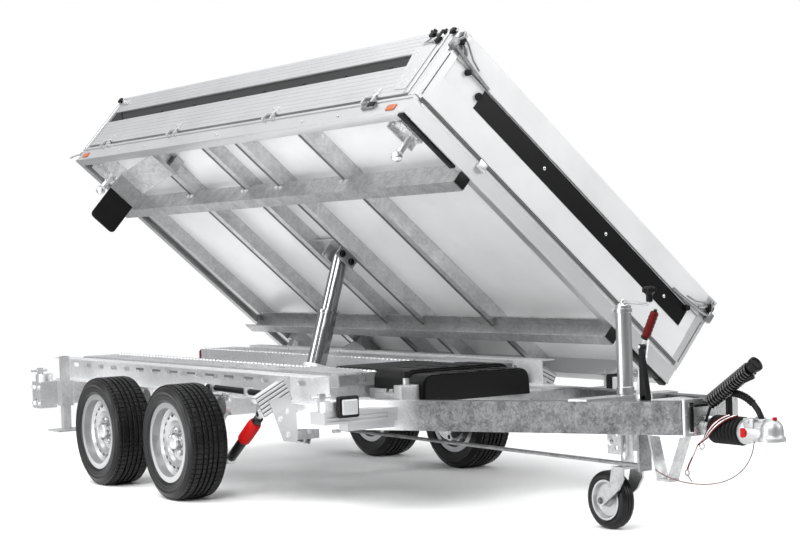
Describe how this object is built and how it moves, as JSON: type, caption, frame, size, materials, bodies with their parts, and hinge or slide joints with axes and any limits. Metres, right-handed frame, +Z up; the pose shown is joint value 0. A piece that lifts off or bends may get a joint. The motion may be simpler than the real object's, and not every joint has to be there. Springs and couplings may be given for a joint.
{
  "type": "three-way tipper trailer",
  "caption": "Tandem-axle three-way tipping trailer with aluminium drop-side bed raised to its left on a telescopic cylinder, V drawbar, ball coupling and jockey wheel.",
  "frame": {"origin": "centre of the hitch ball seat in the coupling head", "axes": "+X forward along the centre plane, +Y to the left, +Z up; the ground is at z = -0.430 m"},
  "size_m": [4.891, 2.1227, 2.0072],
  "materials": {
    "galvanised": "satin",
    "aluminium": "satin",
    "chrome": "gloss",
    "black_steel": "satin",
    "black_plastic": "matte",
    "red_plastic": "gloss",
    "red_paint": "satin",
    "lamp": "gloss",
    "white_lens": "gloss",
    "cast": "satin",
    "rubber": "matte",
    "tyre": "matte",
    "wheel_silver": "gloss"
  },
  "bodies": {
    "chassis": {"main_rails": "galvanised", "inner_rails": "galvanised", "drawbar_beams": "galvanised", "cross_beams": "galvanised", "rear_beam": "galvanised", "corner_sockets": "galvanised", "front_supports": "aluminium", "axle_front": "galvanised", "axle_rear": "galvanised", "shock_absorbers": "red_paint", "rear_lamps": "lamp", "marker_lamps": "white_lens", "pump_box": "black_plastic", "pump_unit": "galvanised", "cylinder_cradle": "galvanised", "coupling_housing": "galvanised", "bellows": "rubber", "coupling_head": "cast", "coupling_handle": "black_plastic", "handbrake_lever": "galvanised", "handbrake_grip": "red_plastic", "handbrake_strut": "black_steel", "brake_rod": "galvanised", "skid_strap": "galvanised", "jockey_bracket": "galvanised", "jockey_tube": "galvanised", "leg_guides": "galvanised", "cable_coil": "black_plastic", "breakaway_cable": "red_plastic"},
    "bed": {"bed_floor": "aluminium", "bed_frame": "aluminium", "bed_cross_members": "galvanised", "bed_longitudinals": "galvanised", "bed_corner_pins": "galvanised", "cylinder_bracket": "galvanised", "front_board": "aluminium", "corner_posts": "aluminium", "mud_guards": "galvanised", "mud_flaps": "rubber"},
    "left_board": {"left_board": "aluminium"},
    "right_board": {"right_board": "aluminium"},
    "rear_board": {"rear_board": "aluminium"},
    "barrel": {"cylinder_barrel": "chrome"},
    "stage": {"cylinder_stage": "chrome"},
    "rod": {"cylinder_rod": "chrome"},
    "jockey_column": {"jockey_inner": "galvanised"},
    "jockey_fork": {"jockey_fork": "galvanised"},
    "jockey_wheel": {"jockey_tyre": "rubber", "jockey_rim": "wheel_silver"},
    "leg_left": {"leg_left": "galvanised"},
    "leg_right": {"leg_right": "galvanised"},
    "wheel_front_left": {"tyre_front_left": "tyre", "rim_front_left": "wheel_silver"},
    "wheel_front_right": {"tyre_front_right": "tyre", "rim_front_right": "wheel_silver"},
    "wheel_rear_left": {"tyre_rear_left": "tyre", "rim_rear_left": "wheel_silver"},
    "wheel_rear_right": {"tyre_rear_right": "tyre", "rim_rear_right": "wheel_silver"}
  },
  "joints": [
    {"name": "bed_tip", "type": "hinge", "parent": "chassis", "child": "bed", "pos_m": [-3.29, 0.75, 0.07], "axis": [-1, 0, 0], "range_deg": [-41, 0]},
    {"name": "left_board_drop", "type": "hinge", "parent": "bed", "child": "left_board", "pos_m": [-3.29, 1.00689, 0.10639], "axis": [-1, 0, 0], "range_deg": [0, 130]},
    {"name": "right_board_drop", "type": "hinge", "parent": "bed", "child": "right_board", "pos_m": [-3.29, -0.38178, 1.31354], "axis": [1, 0, 0], "range_deg": [0, 130]},
    {"name": "rear_board_drop", "type": "hinge", "parent": "bed", "child": "rear_board", "pos_m": [-4.835, 0.31256, 0.70997], "axis": [0, -0.7547, 0.6561], "range_deg": [0, 130]},
    {"name": "cylinder_swing", "type": "hinge", "parent": "chassis", "child": "barrel", "pos_m": [-3.2, 0, -0.2], "axis": [-1, 0, 0], "range_deg": [-17.1, 0]},
    {"name": "stage_slide", "type": "slide", "parent": "barrel", "child": "stage", "axis": [0, 0.294, 0.9558], "range_m": [-0.25112, 0]},
    {"name": "rod_slide", "type": "slide", "parent": "stage", "child": "rod", "axis": [0, 0.294, 0.9558], "range_m": [-0.25112, 0]},
    {"name": "wheel_front_left_spin", "type": "hinge", "parent": "chassis", "child": "wheel_front_left", "pos_m": [-2.905, 0.791, -0.1675], "axis": [0, 1, 0], "continuous": true},
    {"name": "wheel_front_right_spin", "type": "hinge", "parent": "chassis", "child": "wheel_front_right", "pos_m": [-2.905, -0.791, -0.1675], "axis": [0, 1, 0], "continuous": true},
    {"name": "wheel_rear_left_spin", "type": "hinge", "parent": "chassis", "child": "wheel_rear_left", "pos_m": [-3.675, 0.791, -0.1675], "axis": [0, 1, 0], "continuous": true},
    {"name": "wheel_rear_right_spin", "type": "hinge", "parent": "chassis", "child": "wheel_rear_right", "pos_m": [-3.675, -0.791, -0.1675], "axis": [0, 1, 0], "continuous": true},
    {"name": "jockey_height", "type": "slide", "parent": "chassis", "child": "jockey_column", "axis": [0, 0, 1], "range_m": [0, 0.16]},
    {"name": "jockey_swivel", "type": "hinge", "parent": "jockey_column", "child": "jockey_fork", "pos_m": [-0.76, 0, -0.19], "axis": [0, 0, 1], "continuous": true},
    {"name": "jockey_wheel_spin", "type": "hinge", "parent": "jockey_fork", "child": "jockey_wheel", "pos_m": [-0.865, 0, -0.3175], "axis": [0, 1, 0], "continuous": true},
    {"name": "leg_left_slide", "type": "slide", "parent": "chassis", "child": "leg_left", "axis": [0, 0, -1], "range_m": [0, 0.19]},
    {"name": "leg_right_slide", "type": "slide", "parent": "chassis", "child": "leg_right", "axis": [0, 0, -1], "range_m": [0, 0.19]}
  ],
  "couplings": [
    {"joint": "cylinder_swing", "follows": "bed_tip", "ratio": 0.41703},
    {"joint": "stage_slide", "follows": "bed_tip", "m_per_rad": 0.35093},
    {"joint": "rod_slide", "follows": "bed_tip", "m_per_rad": 0.35093}
  ]
}
